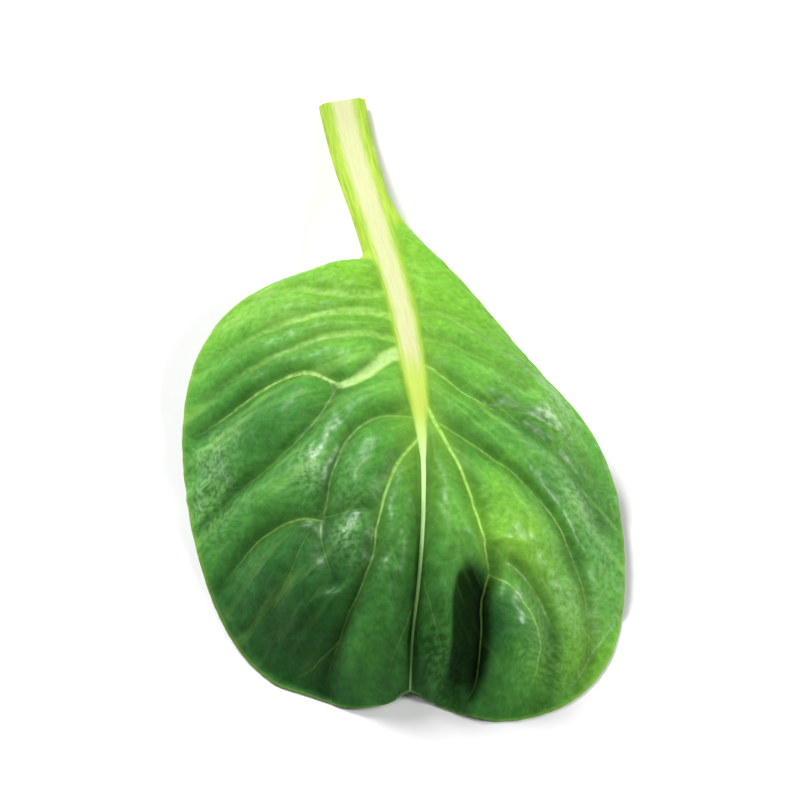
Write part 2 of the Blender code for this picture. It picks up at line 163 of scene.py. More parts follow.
# The side veins: root, end, bow, sway, depth, half-width and paleness. Each arches over from its root to its
# end. The bow is how far the arch stands to the left of the way it runs, and the sway shifts it towards its
# end. The depth is the share of the pucker's height that the vein holds down. Lengths are in mm, and the
# half-width is that of the pale line at the root.
VEINS = {
    "right_outer": ((1.2, 60.2), (14.1, 52.1), -1.1, -0.9, 0.80, 0.24, 0.5),
    "right_rim": ((14.0, 52.2), (35.0, 33.8), 6.2, -1.6, 0.60, 0.14, 0.2),
    "right_crease": ((14.6, 51.5), (32.7, 34.8), 3.0, 0.0, 0.85, 0.14, 0.1),
    "right_arch": ((3.9, 47.9), (27.1, 26.9), 2.5, 2.2, 0.95, 0.20, 0.35),
    "right_arch_end": ((27.1, 26.9), (27.4, 5.0), 2.7, 0.1, 0.90, 0.12, 0.2),
    "right_stem": ((1.2, 51.7), (12.3, 21.9), 1.3, 0.2, 0.90, 0.34, 1.0),
    "right_fork_inner": ((12.3, 21.9), (7.6, 2.6), 0.9, 2.2, 1.00, 0.20, 0.8),
    "right_fork_outer": ((12.3, 21.9), (17.2, 1.9), 6.1, 0.8, 0.30, 0.22, 0.6),
    "right_fork_crease": ((15.5, 24.0), (20.5, 2.0), 5.2, 0.3, 0.95, 0.10, 0.0),
    "right_tip": ((0.9, 20.0), (3.9, 3.4), 1.0, 0.9, 0.60, 0.12, 0.15),
    "right_pleat": ((0.9, 71.7), (22.0, 61.5), 1.8, -0.6, 0.60, 0.60, 0.16),
    "right_brow": ((0.9, 65.7), (20.0, 57.2), 1.0, 0.0, 0.60, 0.50, 0.16),
    "left_thick": ((-1.8, 63.2), (-14.2, 56.1), 0.6, 1.8, 0.90, 1.45, 0.85),
    "left_outer": ((-14.3, 56.6), (-40.6, 54.5), -2.9, 4.3, 0.90, 0.36, 0.70),
    "left_crease": ((-14.2, 55.9), (-38.9, 37.2), 3.1, -1.3, 0.90, 0.16, 0.2),
    "left_arch": ((-0.7, 49.2), (-16.6, 30.9), -5.7, 2.7, 0.85, 0.24, 0.32),
    "left_arch_end": ((-16.6, 30.9), (-35.7, 25.0), -3.0, 1.1, 0.85, 0.22, 0.42),
    "left_bridge": ((-16.4, 31.6), (-6.4, 31.7), -0.4, 0.2, 0.60, 0.12, 0.2),
    "left_inner": ((0.4, 45.0), (-7.6, 24.3), -1.9, 0.5, 0.80, 0.32, 0.75),
    "left_inner_end": ((-7.6, 24.3), (-16.5, 4.6), -0.1, -0.9, 1.00, 0.18, 0.36),
    "left_node": ((-16.6, 30.9), (-14.3, 18.9), -0.6, 0.6, 0.55, 0.14, 0.35),
    "left_lobe": ((-18.6, 28.9), (-31.1, 16.5), 2.2, 2.0, 0.45, 0.10, 0.2),
    "left_lobe_low": ((-13.7, 11.8), (-22.4, 8.1), 0.8, 0.0, 0.40, 0.14, 0.3),
    "left_tip": ((-0.4, 17.3), (-6.9, 3.2), 0.3, 0.0, 0.60, 0.12, 0.15),
    "left_pleat": ((-5.6, 76.4), (-31.8, 78.7), 0.5, -3.2, 0.60, 0.95, 0.44),
    "left_brow": ((-4.3, 70.8), (-37.4, 68.3), -1.5, 1.6, 0.70, 0.95, 0.56),
    "left_cheek": ((-3.5, 65.6), (-39.2, 60.4), -2.4, 1.6, 0.75, 0.80, 0.42),
}

# The random draws of the net and of the mottling repeat every so many cells
LATTICE = 64
NET_SEED = 11
WOBBLE_SEED = 23
RELIEF_SEED = 37

# Where the blade is crinkled: the middle of the spot, its radius, and the height of its crinkles, in mm
CRINKLES = (
    ((-37.5, 45.0), 8.5, 0.75),
    ((-33.0, 22.0), 6.0, 0.2),
    ((4.5, 6.5), 5.0, 0.35),
    ((29.0, 40.0), 7.0, 0.15),
)
CRINKLE_CELL = 2.1 * MM
CRINKLE_SEED = 53

# The net of small veins: where in its lattice square a random point may lie, how far the lines wander and
# over what distance, both in cells of the net, how much of its depth is left in a crease, and the width of
# the fine hills in its cells
NET_POINT_ROOM = (0.08, 0.92)
NET_WANDER = 0.16
NET_WANDER_CELLS = 0.9
NET_IN_CREASE = 0.35
HILL_CELLS = 0.45

# Edges of the mesh that turn by more than this are drawn sharp
SHARP_TURN = math.radians(65.0)

# The painted veins: how far their lines wander in mm, how much a line narrows by its end, where its sides
# fade in half-widths, how far its soft halo reaches in mm, and the shares of its length where both fade at
# root and end
VEIN_WANDER = 1.1
VEIN_TAPER = 0.55
VEIN_SIDES = (1.5, 0.5)
VEIN_HALO = 1.3
VEIN_ROOT_FADE = (-0.04, 0.02)
VEIN_END_FADE = 1.04

# From where a vein's line fades: late on veins that run on in another one, early on the last ones, and at
# once on the painted glint, a painted highlight along the pale ridge that runs on from the thick vein
RUN_ON = ("right_outer", "right_arch", "right_stem", "left_thick", "left_arch", "left_inner")
FADE_RUN_ON = 0.9
FADE_LAST = 0.4
FADE_RIDGE_GLINT = -0.2

# How many cells of each random pattern lie along a metre of the skin
WANDER_PATTERNS = (160.0, 115.0)
BROAD_PATTERN = 90.0
PATCHY_PATTERN = 380.0
FINE_NET_PATTERN = 700.0
LEATHER_PATTERN = 950.0
GRAIN_PATTERN = 2600.0

# How many cells the drawn-out patterns have: for the pleats and the right margin's fibres, from midrib to
# margin and from cut end to tip, and for the stalk's threads, in each mm and from cut end to tip
PLEAT_PATTERN = (2.2, 62.0)
FIBRE_PATTERN = (26.0, 5.0)
STALK_PATTERN = (2.6, 26.0)

# How deep the green is: where it starts to deepen and where it ends, in mm along the leaf, how much deeper it
# gets, how much its broad patches differ, and how much the painted shade in the pocket of the fold darkens
# it.
# The deepening is partly the leaf's own tone, partly painted light near the neck and painted shade towards
# the tip.
DEEPENING = (100.0, -4.0)
DEPTH_RANGE = 0.74
DEPTH_PATCHES = 0.2
POCKET_SHADE = 0.8

# Where painted light and shade, with some of the leaf's own tone, make the green lighter or deeper than its
# place
# between neck and tip tells: the middle of the spot and its radius in mm, and how much deeper it is there
LIGHT_SHADE_AND_TONE_SPOTS = (
    ((16.0, 30.0), 11.0, -0.42), ((28.0, 12.0), 13.0, -0.56), ((-24.0, 18.0), 15.0, 0.26),
    ((-30.0, 54.0), 13.0, 0.33), ((-12.0, 46.0), 9.0, 0.08), ((-9.0, 10.0), 6.0, -0.12),
    ((14.0, 13.0), 5.0, 0.30), ((17.5, 25.5), 6.0, -0.10), ((19.0, 48.0), 4.0, 0.16),
    ((23.2, 38.8), 4.0, 0.18), ((27.0, 30.0), 3.5, 0.16), ((15.5, 17.5), 3.5, 0.20),
    ((21.8, 12.5), 3.2, 0.24),
)

# Where a painted pool of light makes the green brighter, as a spot's middle, its radius and how much brighter
# it is
PAINTED_LIGHT_SPOTS = (((16.0, 25.5), 5.0, 0.30),)

# Where a pale painted highlight lies on the swellings, as a spot's middle, its radius and the highlight's
# share
PAINTED_HIGHLIGHT_SPOTS = (
    ((-12.6, 29.5), 3.8, 0.85), ((-8.1, 23.0), 3.2, 0.50), ((-17.2, 40.0), 4.5, 0.62),
    ((28.7, 36.9), 4.5, 0.46), ((25.1, 18.2), 4.0, 0.44), ((23.5, 52.0), 4.0, 0.40),
    ((-37.0, 40.0), 4.5, 0.36), ((-36.5, 49.0), 4.5, 0.26), ((33.5, 26.0), 4.0, 0.25),
)

# Where the green is mottled with darker patches, in the same way
MOTTLED_SPOTS = (((3.2, 8.5), 5.5, 0.75), ((22.0, 9.0), 5.0, 0.40), ((-36.0, 38.0), 5.0, 0.40))

# Where the skin is waxier: the middle of the spot and its radius in mm, and the wax there
WAX_SPOTS = (
    ((-18.0, 42.0), 8.0, 0.95), ((-12.0, 28.0), 7.0, 1.0), ((-37.5, 45.0), 8.0, 0.7),
    ((-21.0, 66.0), 10.0, 0.35), ((22.0, 54.0), 10.0, 0.8), ((29.0, 38.0), 11.0, 0.9),
    ((4.0, 30.0), 7.0, 0.6), ((17.5, 18.0), 8.0, 1.0), ((26.0, 18.0), 7.0, 0.6),
)

# The stalk's cut end: the greener skin at its sides and faces, and the bow of strands in its flesh. Places
# there run from -1 to 1 across, and from 0 on the upper face to 1 on the under one. A strand's crowding is
# how fast it is left in each way, and it ends softly between the two distances.
RIND_SIDES = (0.78, 1.0)
RIND_FACES = (0.36, 0.5)
STRANDS = 5
STRAND_SPREAD = 0.66
STRAND_LEVEL = 0.62
STRAND_BOW = 0.35
STRAND_CROWDING = (3.6, 3.0)
STRAND_EDGE = (0.55, 0.2)

# The lamps: name, place, width and depth, in metres, and power in watts. All face one place in the leaf.
LAMPS = (
    ("key", (-0.56, 0.68, 0.82), (0.45, 0.45), 15.5),
    ("right_panel", (1.0, -0.15, 0.75), (0.3, 0.4), 9.5),
    ("front_panel", (-0.42, -0.1, 1.0), (0.3, 0.3), 1.5),
)
LAMP_AIM = (0.0, 0.0, 0.01)

# Where the room's light eases from its front to its back, as the part of a direction that points along the
# stalk
SKY_EASE = (-0.75, 0.15)

# The width of the camera's picture frame, in mm
FRAME_WIDTH = 36.0


def smooth_step(low, high, value):
    """0 below low, 1 above high, and an even ease between them."""
    share = np.clip((value - low) / (high - low), 0.0, 1.0)
    return share * share * (3.0 - 2.0 * share)


def spline(points, share):
    """A smooth curve through the points, read where share of its length has passed, from 0 to 1.

    Each stretch between two points is a cubic, whose end slopes weigh the chords on both sides of the point.
    """
    points = np.asarray(points, float)
    chords = np.linalg.norm(np.diff(points, axis=0), axis=1)
    knots = np.concatenate([[0.0], np.cumsum(chords)]) / chords.sum()
    steps = np.diff(knots)[:, None]
    rises = np.diff(points, axis=0) / steps
    slopes = np.empty_like(points)
    slopes[1:-1] = (rises[:-1] * steps[1:] + rises[1:] * steps[:-1]) / (steps[:-1] + steps[1:])
    slopes[0] = rises[0]
    slopes[-1] = rises[-1]
    stretch = np.clip(np.searchsorted(knots, share, side="right") - 1, 0, len(knots) - 2)
    step = steps[stretch]
    passed = (share - knots[stretch])[..., None] / step
    left = 1.0 - passed
    return (
        points[stretch] * (1.0 + 2.0 * passed) * left**2
        + slopes[stretch] * step * passed * left**2
        + points[stretch + 1] * (3.0 - 2.0 * passed) * passed**2
        - slopes[stretch + 1] * step * left * passed**2
    )


def midrib_at(along):
    """Points on the upper face of the midrib: the smooth curve through its listed places."""
    return spline(np.array(MIDRIB) * MM, along)


def sideways_at(along):
    """The level unit direction to the right of the midrib."""
    step = 0.01
    ahead = midrib_at(np.clip(along + step, 0.0, 1.0)) - midrib_at(np.clip(along - step, 0.0, 1.0))
    right = np.stack([-ahead[..., 1], ahead[..., 0], 0.0 * ahead[..., 0]], axis=-1)
    return right / np.linalg.norm(right, axis=-1, keepdims=True)


def stalk_half_width_at(along):
    """Half the stalk's width, narrowing evenly from the cut to the neck."""
    return np.interp(along, (0.0, NECK), STALK_HALF_WIDTHS) * MM


def stalk_edge_at(along, side):
    """The stalk's edge: half its width beside the midrib, and a little lower."""
    edge = midrib_at(along) + side * stalk_half_width_at(along)[..., None] * sideways_at(along)
    edge[..., 2] -= STALK_EDGE_DROP
    return edge


def sharp_margin_at(along, side):
    """The leaf's edge on one side (-1 left, 1 right): the stalk's own edge, and then the blade's margin."""
    start = LEFT_START if side < 0 else RIGHT_START
    listed = np.array(LEFT_MARGIN if side < 0 else RIGHT_MARGIN) * MM
    corner = stalk_edge_at(np.array([start]), side)
    passed = np.clip((along - start) / (1.0 - start), 0.0, 1.0)
    blade = spline(np.concatenate([corner, listed]), 1.0 - (1.0 - passed) ** SWEEP)
    return np.where((along > start)[..., None], blade, stalk_edge_at(along, side))


def margin_at(along, side):
    """The leaf's edge with the corner between stalk and blade rounded, as a mean of neighbouring places."""
    ease = CORNER_EASE * np.clip(along / CORNER_EASE_FADE, 0.0, 1.0)
    ease = ease * np.clip((1.0 - along) / CORNER_EASE_FADE, 0.0, 1.0)
    shifts = (-1.0, -0.5, 0.0, 0.5, 1.0)
    return sum(sharp_margin_at(along + shift * ease, side) for shift in shifts) / len(shifts)


def vein_lines(x, y, vein):
    """How far along a side vein a point lies, from 0 to 1, and its distance from it, positive on the left."""
    root, end = np.array(vein[0]) * MM, np.array(vein[1]) * MM
    bow, sway = vein[2] * MM, vein[3] * MM
    length = np.linalg.norm(end - root)
    ahead = (end - root) / length
    passed = ((x - root[0]) * ahead[0] + (y - root[1]) * ahead[1]) / length
    beside = (y - root[1]) * ahead[0] - (x - root[0]) * ahead[1]
    on_arch = np.clip(passed, 0.0, 1.0)
    hump, tilt = 4.0 * on_arch * (1.0 - on_arch), 2.0 * on_arch - 1.0
    arch = hump * (bow + sway * tilt)
    slope = (4.0 * (1.0 - 2.0 * on_arch) * (bow + sway * tilt) + 2.0 * sway * hump) / length
    return passed, (beside - arch) / np.sqrt(1.0 + slope * slope)


def reach_of(passed):
    """1 beside a vein, easing to 0 just before its root and just past its end."""
    return smooth_step(*VEIN_ROOT_EASE, passed) * (1.0 - smooth_step(*VEIN_END_EASE, passed))


def swell_between_veins(x, y, from_midrib, rounding):
    """How far the blade swells between its veins: 1 in the open, and 0 on a vein.

    Each vein, and the midrib, holds it down as a rounded crease that falls away on both sides.
    """
    def valley(offset, half_width):
        return np.exp(-(np.sqrt(offset**2 + rounding**2) - rounding) / half_width)

    swell = 1.0 - valley(from_midrib, MIDRIB_VALLEY_WIDTH)
    for vein in VEINS.values():
        passed, offset = vein_lines(x, y, vein)
        swell = swell * (1.0 - vein[4] * reach_of(passed) * valley(offset, PUCKER_WIDTH))
    return swell


def ribs_of_veins(x, y, half_width):
    """1 on the middle of a side vein, falling away on both sides as a bell curve, by the vein's depth."""
    ribs = np.zeros_like(x)
    for vein in VEINS.values():
        passed, offset = vein_lines(x, y, vein)
        ribs = np.maximum(ribs, vein[4] * reach_of(passed) * np.exp(-((offset / half_width) ** 2)))
    return ribs


def fold(x, y):
    """The deep fold in the right lobe, as a share: steep on the midrib's side, and gentle on the other."""
    passed, offset = vein_lines(x, y, VEINS["right_fork_inner"])
    offset = offset + FOLD_SHIFT
    half_width = np.where(offset < 0, FOLD_STEEP_WIDTH, FOLD_GENTLE_WIDTH)
    reach = smooth_step(*FOLD_ROOT_EASE, passed) * (1.0 - smooth_step(*FOLD_END_EASE, passed))
    return reach * np.exp(-((offset / half_width) ** 2))


def thick_rib(x, y):
    """The round back of the thick vein on the left, which stands out of the upper face."""
    passed, offset = vein_lines(x, y, VEINS["left_thick"])
    return THICK_RIB_RAISE * reach_of(passed) * np.exp(-((offset / THICK_RIB_HALF_WIDTH) ** 2))


def blister(x, y):
    """Small uneven swellings 6 to 7 mm apart, as the product of two waves that are themselves bent."""
    first_bend = BLISTER_BENDS[0] * np.sin(y / BLISTER_BEND_RADIANS[0])
    second_bend = BLISTER_BENDS[1] * np.sin(x / BLISTER_BEND_RADIANS[1] + BLISTER_BEND_START)
    first = np.sin(x / BLISTER_RADIANS[0] + first_bend)
    second = np.sin(y / BLISTER_RADIANS[1] + second_bend)
    return BLISTER_HEIGHT * first * second


def crinkles(x, y):
    """The height of the crinkles, which falls away round each spot as a bell curve."""
    height = np.zeros_like(x)
    for (spot_x, spot_y), radius, most in CRINKLES:
        away = np.hypot(x - spot_x * MM, y - spot_y * MM) / (radius * MM)
        height += most * MM * np.exp(-away * away)
    return height


def soft_noise(place, size, seed):
    """Smooth random hills between -1 and 1: heights on a square lattice, eased from one to the next."""
    heights = np.random.default_rng(seed).uniform(-1.0, 1.0, (LATTICE, LATTICE))
    place = place / size
    corner = np.floor(place).astype(int)
    share = smooth_step(0.0, 1.0, place - corner)
    across, down = share[..., 0], share[..., 1]
    column, row = corner[..., 0] % LATTICE, corner[..., 1] % LATTICE
    next_column, next_row = (column + 1) % LATTICE, (row + 1) % LATTICE
    near = heights[row, column] * (1.0 - across) + heights[row, next_column] * across
    far = heights[next_row, column] * (1.0 - across) + heights[next_row, next_column] * across
    return near * (1.0 - down) + far * down


def net_lines(place, cell):
    """The net of small veins: the edges between cells that lie round one random point in each lattice square.

    A place belongs to its nearest random point, and the edge towards any other point is the line halfway to
    it. Gives, for each place, its distance from the nearest such edge, a point on that edge, and the level
    direction across it, which always points to the right.
    """
    seeds = np.random.default_rng(NET_SEED).uniform(*NET_POINT_ROOM, (LATTICE, LATTICE, 2))
    place = place / cell
    home = np.floor(place).astype(int)
    around = [(right, up) for right in range(-2, 3) for up in range(-2, 3)]
    squares = [home + np.array(step) for step in around]
    wrapped = [square % LATTICE for square in squares]
    points = np.stack([square + seeds[turn[..., 1], turn[..., 0]] for square, turn in zip(squares, wrapped)])
    nearest = np.argmin(np.linalg.norm(points - place, axis=-1), axis=0)[None, ..., None]
    own = np.take_along_axis(points, nearest, axis=0)
    middles = (points + own) / 2.0
    ways = points - own
    lengths = np.linalg.norm(ways, axis=-1, keepdims=True)
    ways = ways / np.where(lengths > 0.0, lengths, 1.0)
    gaps = np.sum((middles - place) * ways, axis=-1) + np.where(lengths[..., 0] > 0.0, 0.0, np.inf)
    closest = np.argmin(gaps, axis=0)[None, ..., None]
    gap = np.take_along_axis(gaps[..., None], closest, axis=0)[0, ..., 0]
    middle = np.take_along_axis(middles, closest, axis=0)[0]
    way = np.take_along_axis(ways, closest, axis=0)[0]
    way = way * np.where(way[..., :1] < 0, -1.0, 1.0)
    return gap * cell, middle * cell, way


def keel_at(along):
    """Half the keel's width and its depth under the leaf, read evenly between its listed places."""
    half_width = np.interp(along, KEEL_STATIONS, KEEL_HALF_WIDTHS) * MM
    depth = np.interp(along, KEEL_STATIONS, KEEL_DEPTHS) * MM
    return half_width, depth


def normals_of(points):
    """Unit normals of a grid whose rows run from the stalk to the tip: its slopes both ways, crossed."""
    normal = np.cross(np.gradient(points, axis=0), np.gradient(points, axis=1))
    return normal / np.linalg.norm(normal, axis=-1, keepdims=True)


def leaf_faces(shape):
    """Both faces of the leaf as grids of points, and what its skin is painted by.

    The rows run from the cut stalk to the notch, and the columns from the left margin to the right one. The
    height eases from the midrib's down to the margin's as a dome, the blade swells between its veins, and the
    fold is cut in. The under face stands one thickness off, with the midrib's round keel and the veins' ribs
    added: along the normals on the blade, and straight down on the bare stalk. Then the net of small veins is
    pressed in from above and stands out below, with the fine hills, the crinkles and the stalk's stripes.
    """
    rows = shape.stalk_rows + shape.blade_rows
    row_share = np.linspace(0.0, 1.0, rows + 1)
    along = np.interp(row_share, (0.0, shape.stalk_rows / rows, 1.0), (0.0, RIGHT_START, 1.0))
    column_share = np.linspace(-1.0, 1.0, shape.columns + 1)
    across = np.sign(column_share) * np.abs(column_share) ** shape.crowding
    along, across = np.meshgrid(along, across, indexing="ij")

    side = np.where(across < 0, -1.0, 1.0)
    out = np.abs(across)
    rib = midrib_at(along)
    margin = np.where((side < 0)[..., None], margin_at(along, -1), margin_at(along, 1))
    reach = margin[..., :2] - rib[..., :2]
    level = rib[..., :2] + reach * out[..., None]
    x, y = level[..., 0], level[..., 1]
    from_midrib = np.abs(np.sum(reach * sideways_at(along)[..., :2], axis=-1)) * out
    keel_width, keel_depth = keel_at(along)
    opened = smooth_step(*OPENED_REACH, np.linalg.norm(reach, axis=-1) / stalk_half_width_at(along))
    bladed = opened * smooth_step(*OPENED_SIDE, from_midrib / keel_width)

    inside = 1.0 - smooth_step(FLATTEN_FROM, 1.0, out)
    swollen = PUCKER_AT_NECK + (1.0 - PUCKER_AT_NECK) * smooth_step(*PUCKER_NECK_EASE, along)
    raised = smooth_step(*MIDRIB_RAISE_START, along)
    grooved = 1.0 - smooth_step(*STALK_GROOVE_END, along)
    edging = np.clip((out - STALK_EDGE_ROUND_FROM) / (1.0 - STALK_EDGE_ROUND_FROM), 0.0, 1.0)
    height = margin[..., 2] + (rib[..., 2] - margin[..., 2]) * (1.0 - out**DOME_POWER) ** BRIM_POWER
    height += SHOULDER * bladed * np.sin(np.pi * out)
    height += MIDRIB_RAISE * raised * np.clip(1.0 - (from_midrib / keel_width) ** 2, 0.0, 1.0)
    height -= STALK_GROOVE * grooved * np.clip(1.0 - (out / STALK_GROOVE_OUT) ** 2, 0.0, 1.0)
    height -= STALK_EDGE_ROUND * (1.0 - opened) * edging**2
    swell = swell_between_veins(x, y, from_midrib, shape.crease_rounding)
    swelling = PUCKER_HEIGHT * swell + blister(x, y)
    height += bladed * swollen * swelling * (PUCKER_AT_MARGIN + (1.0 - PUCKER_AT_MARGIN) * inside)
    folded = fold(x, y)
    height -= FOLD_DEPTH * bladed * folded * (FOLD_AT_MARGIN + (1.0 - FOLD_AT_MARGIN) * inside)
    height += bladed * thick_rib(x, y)
    height += MARGIN_WAVE * opened * out**MARGIN_WAVE_POWER * np.sin(along * MARGIN_WAVE_RATE + side)
    upper = np.stack([x, y, height], axis=-1)

    normal = normals_of(upper)
    wall = STALK_EDGE_THICKNESS + (shape.blade_thickness - STALK_EDGE_THICKNESS) * bladed
    wall = wall + keel_depth * np.sqrt(np.clip(1.0 - (from_midrib / keel_width) ** 2, 0.0, 1.0))
    wall = wall + shape.rib_raise * bladed * ribs_of_veins(x, y, shape.rib_half_width)
    below = normal * opened[..., None] + np.array([0.0, 0.0, 1.0]) * (1.0 - opened)[..., None]
    under = upper - wall[..., None] * below / np.linalg.norm(below, axis=-1, keepdims=True)

    sheet = unrolled(upper, rib, reach)
    wobble = [soft_noise(sheet, shape.net_cell * NET_WANDER_CELLS, WOBBLE_SEED + turn) for turn in (0, 1)]
    sheet = sheet + NET_WANDER * shape.net_cell * np.stack(wobble, axis=-1)
    gap, net_middle, net_across = net_lines(sheet, shape.net_cell)
    pressed = shape.net_depth * bladed * np.exp(-gap / shape.net_width)
    pressed = pressed * (NET_IN_CREASE + (1.0 - NET_IN_CREASE) * swell)
    hills = shape.hill_height * bladed * soft_noise(sheet, shape.net_cell * HILL_CELLS, RELIEF_SEED)
    hills += crinkles(x, y) * bladed * soft_noise(sheet, CRINKLE_CELL, CRINKLE_SEED)
    stripe_turn = 2.0 * np.pi * from_midrib * side / shape.stripe_width
    stripes = shape.stripe_height * (1.0 - bladed) * np.sin(stripe_turn)
    upper += (hills + stripes - pressed)[..., None] * normal
    under -= (pressed - hills - stripes)[..., None] * normal

    upper[..., 2] = np.maximum(upper[..., 2], shape.blade_thickness)
    under[..., 2] = np.maximum(under[..., 2], 0.0)
    zero = np.zeros_like(x)
    skin = {
        "across": across,
        "along": along,
        "from_rib": from_midrib * side,
        "core": from_midrib / (np.interp(along, CORE_STATIONS, CORE_HALF_WIDTHS) * MM),
        "bladed": bladed,
        "swell": swell,
        "folded": folded * bladed,
        "sheet": sheet,
        "net_gap": gap,
        "net_middle": np.stack([net_middle[..., 0], net_middle[..., 1], zero], axis=-1),
        "net_across": np.stack([net_across[..., 0], net_across[..., 1], zero], axis=-1),
    }
    return upper, under, skin


def unrolled(points, rib, reach):
    """The leaf's skin laid flat, with the midrib along -y by its own length.

    Each row is rolled out straight from the midrib, by its length over the humps.
    """
    middle = points.shape[1] // 2
    steps = np.linalg.norm(np.diff(points, axis=1), axis=-1)
    passed = np.concatenate([np.zeros_like(steps[:, :1]), np.cumsum(steps, axis=1)], axis=1)
    rolled = np.abs(passed - passed[:, middle : middle + 1])
    rib_steps = np.linalg.norm(np.diff(rib[:, middle], axis=0), axis=-1)
    down = np.concatenate([[0.0], np.cumsum(rib_steps)])
    start = np.stack([rib[..., 0], np.broadcast_to(-down[:, None], rolled.shape)], axis=-1)
    away = reach / np.linalg.norm(reach, axis=-1, keepdims=True)
    return start + rolled[..., None] * away


def closed_skin(upper, under, shares):
    """A value on both faces, run on over the edges, so that each row is a closed ring.

    Between the faces it passes evenly through the shares, at the two margins and on the caps of both ends.
    """
    between = [upper + (under - upper) * share for share in shares]
    right = np.stack([level[:, -1] for level in between], axis=1)
    left = np.stack([level[:, 0] for level in reversed(between)], axis=1)
    rings = np.concatenate([upper, right, under[:, ::-1], left], axis=1)
    rings = rings.reshape(-1, *rings.shape[2:])
    caps = [level[row, 1:-1] for row in (0, -1) for level in between]
    return np.concatenate([rings, *caps])


def bulging_edges(upper, under, shares, bulge):
    """How far each point of the rings moves to round the margins: outward, as a half circle does.

    Outward is the way from the edge's inner neighbours, square to the line between both faces. The move is
    the bulge times half the thickness there, times the sine of the turn from one face to the other.
    """
    turn = np.arccos(1.0 - 2.0 * np.array(shares))
    moved = np.zeros((upper.shape[0], 2 * upper.shape[1] + 2 * len(shares), 3))
    columns = upper.shape[1]
    for edge, inner, first in ((-1, -2, columns), (0, 1, 2 * columns + len(shares))):
        half = (upper[:, edge] - under[:, edge]) / 2.0
        away = upper[:, edge] - upper[:, inner] + under[:, edge] - under[:, inner]
        along_half = np.sum(away * half, axis=-1, keepdims=True) / np.sum(half * half, axis=-1, keepdims=True)
        away -= half * along_half
        away /= np.linalg.norm(away, axis=-1, keepdims=True)
        size = np.linalg.norm(half, axis=-1, keepdims=True)
        moved[:, first : first + len(shares)] = (bulge * away * size)[:, None] * np.sin(turn)[:, None]
    return moved


def skin_quads(rows, columns, levels):
    """Corner numbers of the quads that close the skin: the rings in turn, and then a cap on each end."""
    inner = levels - 1
    ring = 2 * columns + 2 * inner
    row, place = np.meshgrid(np.arange(rows - 1), np.arange(ring), indexing="ij")
    onward = (place + 1) % ring
    here, there = row * ring, (row + 1) * ring
    sides = np.stack([here + place, there + place, there + onward, here + onward], axis=-1).reshape(-1, 4)

    caps = []
    for end, base in enumerate((0, (rows - 1) * ring)):
        first_inside = rows * ring + end * inner * (columns - 2)
        number = np.empty((levels + 1, columns), int)
        number[0] = base + np.arange(columns)
        number[-1] = base + 2 * columns + inner - 1 - np.arange(columns)
        number[1:-1, 1:-1] = first_inside + np.arange(inner * (columns - 2)).reshape(inner, columns - 2)
        number[1:-1, -1] = base + columns + np.arange(inner)
        number[1:-1, 0] = base + ring - 1 - np.arange(inner)
        corners = (number[:-1, :-1], number[:-1, 1:], number[1:, 1:], number[1:, :-1])
        quads = np.stack(corners, axis=-1).reshape(-1, 4)
        caps.append(quads if end == 0 else quads[:, ::-1])
    return sides, caps[0], caps[1]


def mesh_of(name, points, quads):
    """A mesh from an array of points and one of quads, each a row of four point numbers."""
    mesh = bpy.data.meshes.new(name)
    mesh.vertices.add(len(points))
    mesh.vertices.foreach_set("co", points.astype(np.float32).ravel())
    mesh.loops.add(quads.size)
    mesh.loops.foreach_set("vertex_index", quads.astype(np.int32).ravel())
    mesh.polygons.add(len(quads))
    mesh.polygons.foreach_set("loop_start", np.arange(0, quads.size, 4, dtype=np.int32))
    mesh.update(calc_edges=True)
    mesh.validate()
    return mesh


def add_attribute(mesh, name, values):
    """A number, or a vector where values has a last axis of 3, for each point of the mesh."""
    kind, field = ("FLOAT_VECTOR", "vector") if values.ndim == 2 else ("FLOAT", "value")
    attribute = mesh.attributes.new(name, kind, "POINT")
    attribute.data.foreach_set(field, values.astype(np.float32).ravel())


def opaque(colour):
    """A colour with its full opacity as the fourth number."""
    return (*colour[:3], 1.0)


class Value:
    """A number, colour or vector that varies over a surface. Sums on numbers add Math nodes."""

    def __init__(self, paint, socket):
        self.paint = paint
        self.socket = socket

    def math(self, operation, *others):
        return self.paint.node("ShaderNodeMath", {"operation": operation}, dict(enumerate((self, *others))))

    def __add__(self, other):
        return self.math("ADD", other)

    __radd__ = __add__

    def __sub__(self, other):
        return self.math("SUBTRACT", other)

    def __rsub__(self, other):
        return (self * -1.0) + other

    def __mul__(self, other):
        return self.math("MULTIPLY", other)

    __rmul__ = __mul__

    def __truediv__(self, other):
        return self.math("DIVIDE", other)

    def __abs__(self):
        return self.math("ABSOLUTE")

    def larger(self, other):
        return self.math("MAXIMUM", other)

    def eased(self, low, high):
        """0 at low and 1 at high, whichever is larger, with an even ease between them."""
        return self.paint.node(
            "ShaderNodeMapRange",
            {"interpolation_type": "SMOOTHSTEP"},
            {"Value": self, "From Min": low, "From Max": high},
        )

    def bell(self, half_width):
        """1 at 0, falling away on both sides as a bell curve."""
        scaled = self * (1.0 / half_width)
        return (scaled * scaled * -1.0).math("EXPONENT")


